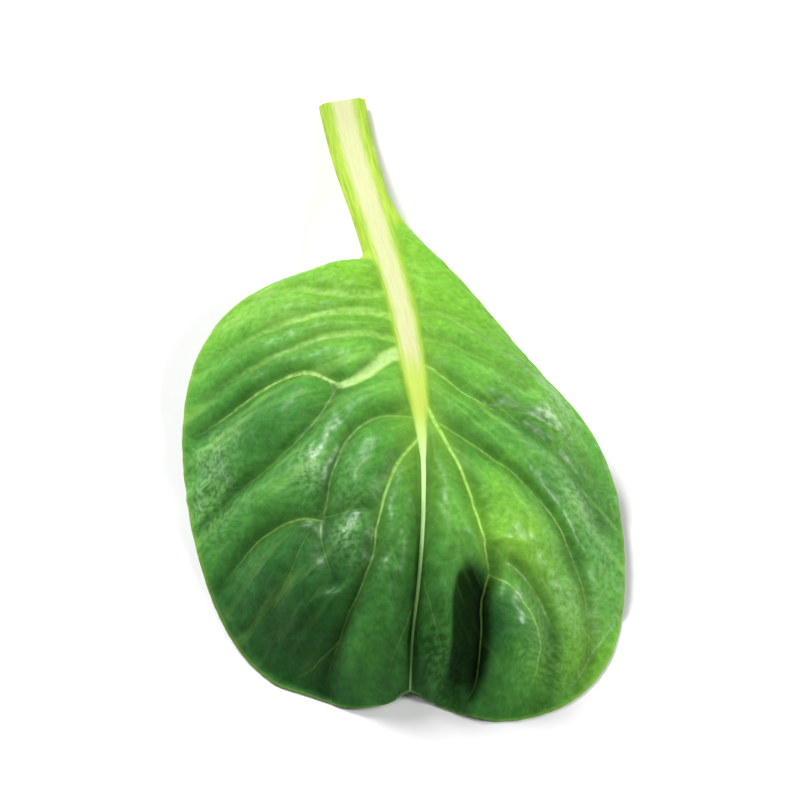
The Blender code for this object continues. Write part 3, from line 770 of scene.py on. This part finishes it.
class Paint:
    """A material that is being put together, and the nodes that it reads the leaf's skin with."""

    MIX_FACTOR, MIX_FIRST, MIX_SECOND, MIX_RESULT = 0, 6, 7, 2

    def __init__(self, name):
        self.material = bpy.data.materials.new(name)
        self.material.use_nodes = True
        self.tree = self.material.node_tree
        self.shader = self.tree.nodes["Principled BSDF"]

    def node(self, kind, settings=None, inputs=None, output=0):
        """A node of one kind, with its settings first, then the values or links of its sockets."""
        made = self.tree.nodes.new(kind)
        for name, setting in (settings or {}).items():
            if name == "stops":
                self.set_stops(made.color_ramp, setting)
            else:
                setattr(made, name, setting)
        for name, value in (inputs or {}).items():
            self.feed(made.inputs[name], value)
        return Value(self, made.outputs[output])

    def feed(self, socket, value):
        """Links a varying value, or sets a constant one. A colour gets its full opacity."""
        if isinstance(value, Value):
            self.tree.links.new(value.socket, socket)
        elif socket.type == "RGBA":
            socket.default_value = opaque(value)
        else:
            socket.default_value = value

    def set_shader(self, inputs):
        for name, value in inputs.items():
            self.feed(self.shader.inputs[name], value)

    def set_stops(self, ramp, stops):
        for _ in stops[2:]:
            ramp.elements.new(0.5)
        for element, (place, colour) in zip(ramp.elements, stops):
            element.position = place
            element.color = opaque(colour)

    def attribute(self, name, output="Fac"):
        return self.node("ShaderNodeAttribute", {"attribute_name": name}, output=output)

    def mix(self, factor, first, second):
        """The first colour at factor 0 and the second at 1."""
        inputs = {self.MIX_FACTOR: factor, self.MIX_FIRST: first, self.MIX_SECOND: second}
        return self.node("ShaderNodeMix", {"data_type": "RGBA"}, inputs, self.MIX_RESULT)

    def vectors(self, operation, first, second, output=0):
        """Vector Math on two vectors: their difference, or their dot product as a number."""
        return self.node("ShaderNodeVectorMath", {"operation": operation}, {0: first, 1: second}, output)

    def scaled(self, vector, share):
        """A vector made longer, or a colour brighter, by a share, which is 1 where it stays."""
        return self.node("ShaderNodeVectorMath", {"operation": "SCALE"}, {0: vector, "Scale": share})

    def noise(self, place, cells, detail=2.0):
        """A random pattern between 0 and 1, with so many cells to each unit of place."""
        return self.node("ShaderNodeTexNoise", {}, {"Vector": place, "Scale": cells, "Detail": detail})

    def drawn_out(self, first, second, rates, detail):
        """A random pattern over two numbers, drawn out along the one whose rate is lower."""
        plane = self.node("ShaderNodeCombineXYZ", {}, {0: first * rates[0], 1: second * rates[1]})
        return self.noise(plane, 1.0, detail)

    def position(self):
        """Object coordinates in mm, in the frame that the curves are drawn in."""
        coordinates = self.node("ShaderNodeTexCoord", output="Object")
        return self.scaled(self.vectors("SUBTRACT", coordinates, SET_DOWN), 1.0 / MM)


def spots(x, y, listed):
    """The sum of the listed spots' shares, each of which falls away round its middle as a bell curve."""
    total = 0.0
    for (spot_x, spot_y), radius, share in listed:
        beside, ahead = (x - spot_x) * (1.0 / radius), (y - spot_y) * (1.0 / radius)
        total = ((beside * beside + ahead * ahead) * -1.0).math("EXPONENT") * share + total
    return total


def painted_vein(x, y, vein, fade_from):
    """A side vein's pale line and the soft halo round it, from the same arch as its relief.

    The line narrows towards the vein's end. Both fade just before the root, and from a share of the vein's
    length to just past its end.
    """
    (root_x, root_y), (end_x, end_y), bow, sway, _, half_width, paleness = vein
    span = math.hypot(end_x - root_x, end_y - root_y)
    ahead_x, ahead_y = (end_x - root_x) / span, (end_y - root_y) / span
    passed = x * (ahead_x / span) + y * (ahead_y / span) - (root_x * ahead_x + root_y * ahead_y) / span
    beside = y * ahead_x - x * ahead_y - (root_y * ahead_x - root_x * ahead_y)
    on_arch = passed.math("MAXIMUM", 0.0).math("MINIMUM", 1.0)
    arch = on_arch * (1.0 - on_arch) * 4.0 * (on_arch * (2.0 * sway) + (bow - sway))
    offset = abs(beside - arch)
    reach = passed.eased(*VEIN_ROOT_FADE) * passed.eased(VEIN_END_FADE, fade_from) * paleness
    line = (offset / (half_width - VEIN_TAPER * half_width * on_arch)).eased(*VEIN_SIDES)
    return line * reach, offset.bell(VEIN_HALO) * reach


def painted_veins(x, y):
    """The palest line and the palest halo of all the side veins at a place."""
    fades = {name: FADE_RUN_ON if name in RUN_ON else FADE_LAST for name in VEINS}
    lines, halos = zip(*(painted_vein(x, y, vein, fades[name]) for name, vein in VEINS.items()))
    return functools.reduce(Value.larger, lines), functools.reduce(Value.larger, halos)


class LeafReadings:
    """What the skin is painted by: attributes, the place in mm, random patterns and painted veins."""

    def __init__(self, paint):
        apart = paint.node("ShaderNodeSeparateXYZ", {}, {0: paint.position()}).socket.node
        self.x, self.y = Value(paint, apart.outputs[0]), Value(paint, apart.outputs[1])
        self.sheet = paint.node("ShaderNodeUVMap", {"uv_map": "sheet"})
        self.across = paint.attribute("across")
        self.along = paint.attribute("along")
        self.from_rib = paint.attribute("from_rib") * (1.0 / MM)
        self.core = paint.attribute("core")
        self.bladed = paint.attribute("bladed")
        self.swell = paint.attribute("swell")
        self.under = paint.attribute("under")

        self.broad = paint.noise(self.sheet, BROAD_PATTERN)
        self.patchy = paint.noise(self.sheet, PATCHY_PATTERN, 3.0)
        self.leather = paint.noise(self.sheet, LEATHER_PATTERN, 3.0)
        self.grain = paint.noise(self.sheet, GRAIN_PATTERN)
        cells = {"Vector": self.sheet, "Scale": FINE_NET_PATTERN}
        self.fine_net = paint.node("ShaderNodeTexVoronoi", {"feature": "DISTANCE_TO_EDGE"}, cells)
        self.pleats = paint.drawn_out(self.across, self.along, PLEAT_PATTERN, 3.0)
        self.pleated = self.along.eased(0.85, 0.5) * self.bladed
        self.threads = paint.drawn_out(self.from_rib, self.along, STALK_PATTERN, 3.0)

        # The pocket of the fold, where painted shade darkens the green and the skin is rougher and less waxy
        folded = paint.attribute("folded") + (self.leather - 0.5) * 0.3
        self.pocket = folded.eased(0.4, 1.0) * self.y.eased(3.0, 11.0)
        wander = [(paint.noise(self.sheet, pattern) - 0.5) * VEIN_WANDER for pattern in WANDER_PATTERNS]
        self.lines, self.halos = painted_veins(self.x + wander[0], self.y + wander[1])


def small_net(paint, read):
    """1 on the lines of the net of small veins, and 0 beside them.

    The distance is measured on the flat skin from a point on the nearest line, straight across that line,
    which keeps it sharp between the points of the mesh.
    """
    to_line = paint.vectors("SUBTRACT", read.sheet, paint.attribute("net_middle", "Vector"))
    gap = paint.vectors("DOT_PRODUCT", to_line, paint.attribute("net_across", "Vector"), "Value")
    near = (paint.attribute("net_gap") * (1.0 / MM)).eased(0.9, 0.4)
    return (abs(gap) * (1.0 / MM)).eased(0.30, 0.06) * near * read.bladed


def blade_green(paint, read, colours):
    """The blade's upper face, laid on in layers.

    The green deepens from neck to tip: partly its own tone, partly painted light shining through the upper
    blade and painted shade on the lower lobes. Painted shade darkens it in the creases and the pocket.
    Painted light and shade, with some of its own tone, lighten or darken it at listed spots, and a painted
    pool of light brightens it at one. It is lighter on the net, mottled at some spots and covered by pale
    painted highlights at others.
    Over it lie the pleats and fibres of the upper part, the halos and lines of the veins, the back of the
    thick vein with a painted glint beyond it, and the light line of the margin, partly a painted highlight on
    its edge.
    """
    # The green deepens towards the tip: partly its own tone, partly painted light near the neck and painted
    # shade on the lower lobes
    depth = read.y.eased(*DEEPENING) * DEPTH_RANGE + (read.broad - 0.5) * DEPTH_PATCHES
    depth = depth + spots(read.x, read.y, LIGHT_SHADE_AND_TONE_SPOTS) + read.pocket * POCKET_SHADE
    shades = colours.neck, colours.young, colours.middle, colours.deep, colours.tip
    stops = tuple(zip((0.0, 0.3, 0.55, 0.8, 1.0), shades))
    green = paint.node("ShaderNodeValToRGB", {"stops": stops}, {"Fac": depth})

    textured = (read.patchy * 0.6 + 0.7) * (read.leather * 0.7 + 0.65)
    # Painted shade: the green darkens in the creases where the blade dips to its veins
    crease_shade = read.swell.eased(0.05, 0.6) * 0.27 + read.swell * 0.2 + 0.54
    netted = small_net(paint, read) * read.patchy * read.along.eased(0.35, 0.6) * 0.2
    netted = netted + read.fine_net.eased(0.2, 0.02) * 0.05 + 1.0
    # Painted light: a pool of light brightens the green at one spot, and painted shade darkens it in the
    # pocket
    painted_light_and_shade = (spots(read.x, read.y, PAINTED_LIGHT_SPOTS) + 1.0) * (1.0 - read.pocket * 0.4)
    mottled = spots(read.x, read.y, MOTTLED_SPOTS) * read.leather.eased(0.58, 0.42) * read.bladed
    green = paint.scaled(green, textured * crease_shade * netted * painted_light_and_shade * (1.0 - mottled * 0.6))
    # Painted highlights: pale patches laid on the swellings where light would catch them, none in the pocket
    highlighted = spots(read.x, read.y, PAINTED_HIGHLIGHT_SPOTS) * read.leather.eased(0.36, 0.62)
    highlighted = highlighted * read.swell.eased(0.15, 0.75) * read.bladed * (1.0 - read.pocket)
    green = paint.mix(highlighted, green, colours.painted_highlight)

    green = paint.mix(read.pleats.eased(0.5, 0.72) * read.pleated * 0.3, green, colours.vein)
    fibres = paint.drawn_out(read.across, read.along, FIBRE_PATTERN, 2.0).eased(0.52, 0.72)
    fibrous = read.across.eased(0.45, 0.85) * read.along.eased(0.26, 0.34) * read.along.eased(0.58, 0.46)
    green = paint.mix(fibres * fibrous * 0.4, green, colours.halo)
    green = paint.mix(read.halos * 0.34 * (1.0 - depth * 0.9), green, colours.halo)
    near_rib = abs(read.from_rib).bell(4.5) * read.along.eased(0.86, 0.55)
    green = paint.mix(near_rib * 0.4, green, colours.halo)

    broken = read.leather.eased(0.3, 0.6) * 0.5 + 0.55
    green = paint.mix(read.lines * (1.0 - depth * 0.45) * broken, green, colours.vein)
    thick, _ = painted_vein(read.x, read.y, VEINS["left_thick"], FADE_RUN_ON)
    # Painted highlight: a broken glint along the pale ridge beyond the thick vein, in the thick vein's colour
    ridge_glint, _ = painted_vein(read.x, read.y, VEINS["left_outer"], FADE_RIDGE_GLINT)
    thick = thick.larger(ridge_glint * read.leather.eased(0.35, 0.6))
    green = paint.mix(thick * (broken * 0.7 + 0.22), green, colours.thick_vein_and_glint)
    # The margin's thin light line: partly its paler edge, partly a painted highlight on the rolled edge
    rim_highlight = abs(read.across).eased(0.98, 1.0) * read.bladed * (1.0 - depth * 0.6)
    return paint.mix(rim_highlight * 0.45, green, colours.rim_highlight)


def stalk_cream(paint, read, colours):
    """The stalk and midrib: a threaded cream core between yellow-green sides, and a light line near the tip
    that is partly a painted highlight.

    Gives that, the colour of the sides alone, and the share that it has of the skin: all of it on the bare
    stalk, and a band round the core on the blade, fading towards the tip.
    """
    sides = paint.mix(read.threads.eased(0.3, 0.75), colours.stalk_edge, colours.stalk_edge_deep)
    core = paint.mix(read.threads.eased(0.35, 0.8), colours.core, colours.core_shade)
    core = paint.mix(read.along.eased(0.49, 0.555) * 0.8, core, colours.core_yellow)
    cream = paint.mix(read.core.eased(0.6, 1.45), core, sides)
    # Near the tip the midrib's line is brightened as a painted highlight, past its own pale colour
    cream = paint.mix(read.along.eased(0.6, 0.7), cream, colours.rib_line_and_highlight)
    share = read.core.eased(1.9, 1.15) * (1.0 - read.along.eased(0.82, 0.98) * 0.6)
    return cream, sides, share.larger(read.bladed.eased(0.4, 0.0) * read.along.eased(0.45, 0.32))


def leaf_skin(colours):
    """The waxy skin: greens that deepen towards the tip, partly as painted shade, with painted light and
    highlights in places, pale veins and net, cream midrib, matt underside.
    """
    paint = Paint("tatsoi_leaf_skin")
    read = LeafReadings(paint)
    cream, sides, on_stalk = stalk_cream(paint, read, colours)
    upper = paint.mix(on_stalk, blade_green(paint, read, colours), cream)
    pale = paint.mix(read.lines.larger(read.halos * 0.5), colours.underside, colours.vein)
    pale = paint.mix(on_stalk, pale, sides)

    rough = read.patchy * 0.16 + 0.36 + on_stalk * 0.2 + read.pocket * 0.4 + read.under * 0.2
    wax = (spots(read.x, read.y, WAX_SPOTS) + 0.05) * (read.leather.eased(0.3, 0.7) * 1.1 + 0.35)
    wax = wax * (0.4 + read.swell * 0.6) * (1.0 - read.pocket)
    wax = wax * (1.0 - on_stalk * 0.8) * (1.0 - read.under * 0.8)
    height = (read.fine_net.eased(0.0, 0.35) * 0.6 + read.leather * 1.3) * read.bladed
    height = height + read.grain * 0.25 + read.threads * (1.0 - read.bladed) * 0.5
    height = height + read.pleats * read.pleated * 1.6
    paint.set_shader({
        "Base Color": paint.mix(read.under, upper, pale),
        "Roughness": rough,
        "Coat Weight": wax,
        "Coat Roughness": 0.33,
        "Specular IOR Level": 0.05,
        "Subsurface Weight": 0.12,
        "Subsurface Radius": (0.6, 1.0, 0.2),
        "Subsurface Scale": 1.0 * MM,
        "Normal": paint.node("ShaderNodeBump", {}, {"Strength": 0.4, "Distance": 0.1 * MM, "Height": height}),
    })
    return paint.material


def cut_flesh(colours):
    """The cut end of the stalk: pale wet flesh, a greener skin round it, and a bow of greener strands."""
    paint = Paint("tatsoi_cut_flesh")
    across = paint.attribute("across")
    under = paint.attribute("under")
    place = paint.position()
    rind = abs(across).eased(*RIND_SIDES).larger(abs(under - 0.5).eased(*RIND_FACES))
    strands = []
    for strand in np.linspace(-STRAND_SPREAD, STRAND_SPREAD, STRANDS).tolist():
        beside = (across - strand) * STRAND_CROWDING[0]
        above = (under - (STRAND_LEVEL - STRAND_BOW * strand**2)) * STRAND_CROWDING[1]
        strands.append((beside * beside + above * above).math("SQRT").eased(*STRAND_EDGE))
    flesh = paint.mix(paint.noise(place, 1.6, 4.0).eased(0.3, 0.7), colours.core, colours.core_shade)
    flesh = paint.mix(functools.reduce(Value.larger, strands) * 0.7, flesh, colours.stalk_edge_deep)
    height = paint.noise(place, 3.0, 3.0)
    paint.set_shader({
        "Base Color": paint.mix(rind, flesh, colours.stalk_edge),
        "Roughness": 0.3,
        "Coat Weight": 0.2,
        "Normal": paint.node("ShaderNodeBump", {}, {"Strength": 0.6, "Distance": 0.2 * MM, "Height": height}),
    })
    return paint.material


def count(name, description, default):
    return bpy.props.IntProperty(name=name, description=description, default=default)


def number(name, description, default):
    return bpy.props.FloatProperty(name=name, description=description, default=default)


def length(name, description, default):
    return bpy.props.FloatProperty(
        name=name, description=description, default=default, unit="LENGTH", precision=5
    )


def colour(name, description, default):
    return bpy.props.FloatVectorProperty(
        name=name, description=description, default=default, subtype="COLOR", size=3, min=0.0, max=1.0
    )


class TatsoiShape(bpy.types.PropertyGroup):
    """How fine the leaf's skin is, and the relief that only the skin has."""

    columns: count("Columns", "Quads from margin to margin", 176)
    stalk_rows: count("Stalk Rows", "Quads along the bare stalk", 30)
    blade_rows: count("Blade Rows", "Quads along the blade", 230)
    edge_levels: count("Edge Levels", "Quads through the leaf's edge", 4)
    crowding: number("Crowding", "Above 1, the columns crowd towards the midrib", 1.12)
    edge_bulge: number("Edge Bulge", "How round the edge is, from flat at 0 to a half circle at 1", 0.5)
    blade_thickness: length("Blade Thickness", "Thickness of the blade between its veins", 0.00045)
    crease_rounding: length("Crease Rounding", "How softly the blade turns at the bottom of a vein", 0.00045)
    rib_raise: length("Rib Raise", "How far the side veins stand out below", 0.0006)
    rib_half_width: length("Rib Half-Width", "Half the width of a side vein's rib below", 0.0009)
    net_cell: length("Net Cell", "Mean width of the cells between the small veins", 0.0042)
    net_depth: length("Net Depth", "How deep the small veins are pressed in", 0.00024)
    net_width: length("Net Width", "How fast the cells rise beside a small vein", 0.0007)
    hill_height: length("Hill Height", "Height of the fine uneven hills on the blade", 0.00008)
    stripe_height: length("Stripe Height", "Height of the lengthwise stripes on the stalk", 0.000015)
    stripe_width: length("Stripe Width", "Width of one lengthwise stripe on the stalk", 0.00095)


class TatsoiColours(bpy.types.PropertyGroup):
    """The leaf's colours, as linear values."""

    # The greens from neck to tip are partly the leaf's own tone. The neck's yellow-green is partly painted
    # light shining through the blade, and the deep and tip greens are partly painted shade on the lower
    # lobes.
    neck: colour("Neck", "Yellow-green where the blade leaves the stalk", (0.21, 0.50, 0.038))
    young: colour("Young", "Fresh green of the blade's upper part", (0.130, 0.41, 0.056))
    middle: colour("Middle", "Green of the blade's middle", (0.072, 0.275, 0.044))
    deep: colour("Deep", "Dark green of the lower lobes", (0.032, 0.14, 0.030))
    tip: colour("Tip", "Darkest green at the tip", (0.010, 0.045, 0.008))
    # Painted highlight: the pale colour laid on the swellings where light would catch them
    painted_highlight: colour("Bloom", "Pale waxy bloom on the swellings", (0.33, 0.61, 0.24))
    halo: colour("Halo", "Soft light band beside a vein", (0.30, 0.58, 0.050))
    vein: colour("Vein", "Pale line of a side vein", (0.41, 0.75, 0.16))
    # Also the colour of the painted glint along the ridge beyond the thick vein
    thick_vein_and_glint: colour("Thick Vein", "Pale back of the thick side vein", (0.49, 0.70, 0.26))
    # Partly the margin's paler edge and partly a painted highlight on its rolled edge
    rim_highlight: colour("Rim", "Thin light line of the margin", (0.36, 0.56, 0.07))
    core: colour("Core", "Cream-white core of the midrib and stalk", (0.64, 0.66, 0.37))
    core_shade: colour("Core Shade", "Threads in the pale core", (0.58, 0.62, 0.27))
    core_yellow: colour("Core Yellow", "The core where the midrib forks", (0.48, 0.65, 0.06))
    stalk_edge: colour("Stalk Edge", "Yellow-green sides of the stalk", (0.46, 0.64, 0.085))
    stalk_edge_deep: colour("Stalk Edge Deep", "Greener threads in the stalk's sides", (0.30, 0.50, 0.045))
    # Brightened past the midrib's own pale colour as a painted highlight near the tip
    rib_line_and_highlight: colour("Rib Line", "The midrib where it is thin, near the tip", (0.66, 1.00, 0.40))
    underside: colour("Underside", "Dull pale green of the under face", (0.15, 0.34, 0.085))


class TatsoiStage(bpy.types.PropertyGroup):
    """The floor, the lights and the camera."""

    floor_colour: colour("Floor", "Pale floor", (0.94, 0.94, 0.94))
    floor_size: length("Floor Size", "Width of the square floor", 6.0)
    elevation: bpy.props.FloatProperty(
        name="Elevation",
        description="How steeply the camera looks down",
        default=math.radians(62.0),
        unit="ROTATION",
    )
    distance: length("Distance", "From the camera to what it looks at", 0.79)
    focal_length: number("Focal Length", "Focal length in millimetres on a 36 mm frame", 200.0)
    target: bpy.props.FloatVectorProperty(
        name="Target",
        description="What the camera looks at",
        default=(-0.0004, -0.0048, 0.010),
        unit="LENGTH",
    )
    sky: number("Sky", "Strength of the room's even light", 0.18)
    dim_front: number("Dim Front", "Share of the room's light that is left on the camera's side", 0.5)


def remove_old(name):
    if name in bpy.data.objects:
        bpy.data.objects.remove(bpy.data.objects[name], do_unlink=True)


def add_object(name, data):
    remove_old(name)
    made = bpy.data.objects.new(name, data)
    bpy.context.scene.collection.objects.link(made)
    return made


class TATSOI_OT_leaf(bpy.types.Operator):
    """Make the leaf, with its skin, in place of the plain solid"""

    bl_idname = "tatsoi.leaf"
    bl_label = "Leaf"
    bl_options = {"REGISTER", "UNDO"}

    def execute(self, context):
        shape = context.scene.tatsoi_shape
        colours = context.scene.tatsoi_colours
        upper, under, skin = leaf_faces(shape)
        rows, columns = upper.shape[:2]
        levels = shape.edge_levels
        shares = (1.0 - np.cos(np.pi * np.arange(1, levels) / levels)) / 2.0
        points = closed_skin(upper, under, shares)
        bulges = bulging_edges(upper, under, shares, shape.edge_bulge).reshape(-1, 3)
        points[: len(bulges)] += bulges
        points[:, 2] = np.maximum(points[:, 2], 0.0)
        sides, cut, notch = skin_quads(rows, columns, levels)
        quads = np.concatenate([sides, notch, cut])
        mesh = mesh_of("leaf", points + np.array(SET_DOWN), quads)

        flat = skin.pop("sheet")
        sheet = closed_skin(flat, flat, shares)
        for name, values in skin.items():
            add_attribute(mesh, name, closed_skin(values, values, shares))
        nothing = np.zeros((rows, columns))
        add_attribute(mesh, "under", closed_skin(nothing, nothing + 1.0, shares))
        layer = mesh.uv_layers.new(name="sheet")
        layer.data.foreach_set("uv", sheet[quads.ravel()].astype(np.float32).ravel())

        mesh.materials.append(leaf_skin(colours))
        mesh.materials.append(cut_flesh(colours))
        slots = np.zeros(len(quads), np.int32)
        slots[-len(cut) :] = 1
        mesh.polygons.foreach_set("material_index", slots)
        mesh.shade_smooth()
        mesh.set_sharp_from_angle(angle=SHARP_TURN)
        mesh.update()
        leaf = add_object("leaf", mesh)
        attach(leaf, "root")
        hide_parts("tatsoi_leaf")
        return {"FINISHED"}


def sky_light(stage):
    """A plain white room, bright above and behind the leaf and dimmer on the camera's side."""
    world = bpy.data.worlds.new("room")
    world.use_nodes = True
    tree = world.node_tree
    background = tree.nodes["Background"]
    coordinates = tree.nodes.new("ShaderNodeTexCoord")
    apart = tree.nodes.new("ShaderNodeSeparateXYZ")
    tree.links.new(coordinates.outputs["Generated"], apart.inputs[0])
    ease = tree.nodes.new("ShaderNodeMapRange")
    ease.interpolation_type = "SMOOTHSTEP"
    limits = (*SKY_EASE, stage.sky * stage.dim_front, stage.sky)
    for name, limit in zip(("From Min", "From Max", "To Min", "To Max"), limits):
        ease.inputs[name].default_value = limit
    tree.links.new(apart.outputs[1], ease.inputs["Value"])
    tree.links.new(ease.outputs[0], background.inputs["Strength"])
    background.inputs["Color"].default_value = (1.0, 1.0, 1.0, 1.0)
    bpy.context.scene.world = world


def soft_panel(name, place, size, power):
    """A rectangular lamp, turned to face what all the lamps aim at."""
    lamp = bpy.data.lights.new(name, "AREA")
    lamp.shape = "RECTANGLE"
    lamp.size, lamp.size_y = size
    lamp.energy = power
    made = add_object(name, lamp)
    made.location = place
    made.rotation_euler = (Vector(LAMP_AIM) - Vector(place)).to_track_quat("-Z", "Y").to_euler()


class TATSOI_OT_stage(bpy.types.Operator):
    """Lay the floor, hang the lights and set the camera"""

    bl_idname = "tatsoi.stage"
    bl_label = "Stage"
    bl_options = {"REGISTER", "UNDO"}

    def execute(self, context):
        stage = context.scene.tatsoi_stage
        half = stage.floor_size / 2.0
        corners = np.array([(-half, -half, 0.0), (half, -half, 0.0), (half, half, 0.0), (-half, half, 0.0)])
        floor = add_object("floor", mesh_of("floor", corners, np.array([[0, 1, 2, 3]])))
        paint = Paint("pale_floor")
        paint.set_shader({"Base Color": stage.floor_colour, "Roughness": 0.7})
        floor.data.materials.append(paint.material)

        sky_light(stage)
        for lamp in LAMPS:
            soft_panel(*lamp)

        back = Vector((0.0, -math.cos(stage.elevation), math.sin(stage.elevation)))
        view = bpy.data.cameras.new("camera")
        view.lens = stage.focal_length
        view.sensor_width = FRAME_WIDTH
        camera = add_object("camera", view)
        camera.location = Vector(stage.target) + back * stage.distance
        camera.rotation_euler = (math.pi / 2.0 - stage.elevation, 0.0, 0.0)
        context.scene.camera = camera
        context.scene.view_settings.view_transform = "Standard"
        return {"FINISHED"}


class TATSOI_PT_panel(bpy.types.Panel):
    """Lists the leaf, the stage and their settings"""

    bl_idname = "TATSOI_PT_panel"
    bl_label = "Tatsoi Leaf"
    bl_space_type = "VIEW_3D"
    bl_region_type = "UI"
    bl_category = "Tatsoi"

    def draw(self, context):
        for operator, groups in (
            (TATSOI_OT_leaf, (context.scene.tatsoi_shape, context.scene.tatsoi_colours)),
            (TATSOI_OT_stage, (context.scene.tatsoi_stage,)),
        ):
            box = self.layout.box()
            box.operator(operator.bl_idname)
            for group in groups:
                for name in group.__annotations__:
                    box.prop(group, name)


CLASSES = (
    TatsoiShape,
    TatsoiColours,
    TatsoiStage,
    TATSOI_OT_leaf,
    TATSOI_OT_stage,
    TATSOI_PT_panel,
)


def register():
    for made in CLASSES:
        bpy.utils.register_class(made)
    bpy.types.Scene.tatsoi_shape = bpy.props.PointerProperty(type=TatsoiShape)
    bpy.types.Scene.tatsoi_colours = bpy.props.PointerProperty(type=TatsoiColours)
    bpy.types.Scene.tatsoi_stage = bpy.props.PointerProperty(type=TatsoiStage)


def unregister():
    del bpy.types.Scene.tatsoi_stage
    del bpy.types.Scene.tatsoi_colours
    del bpy.types.Scene.tatsoi_shape
    for made in reversed(CLASSES):
        bpy.utils.unregister_class(made)


def main():
    register()
    bpy.ops.tatsoi.leaf()
    bpy.ops.tatsoi.stage()


if __name__ == "__main__":
    main()
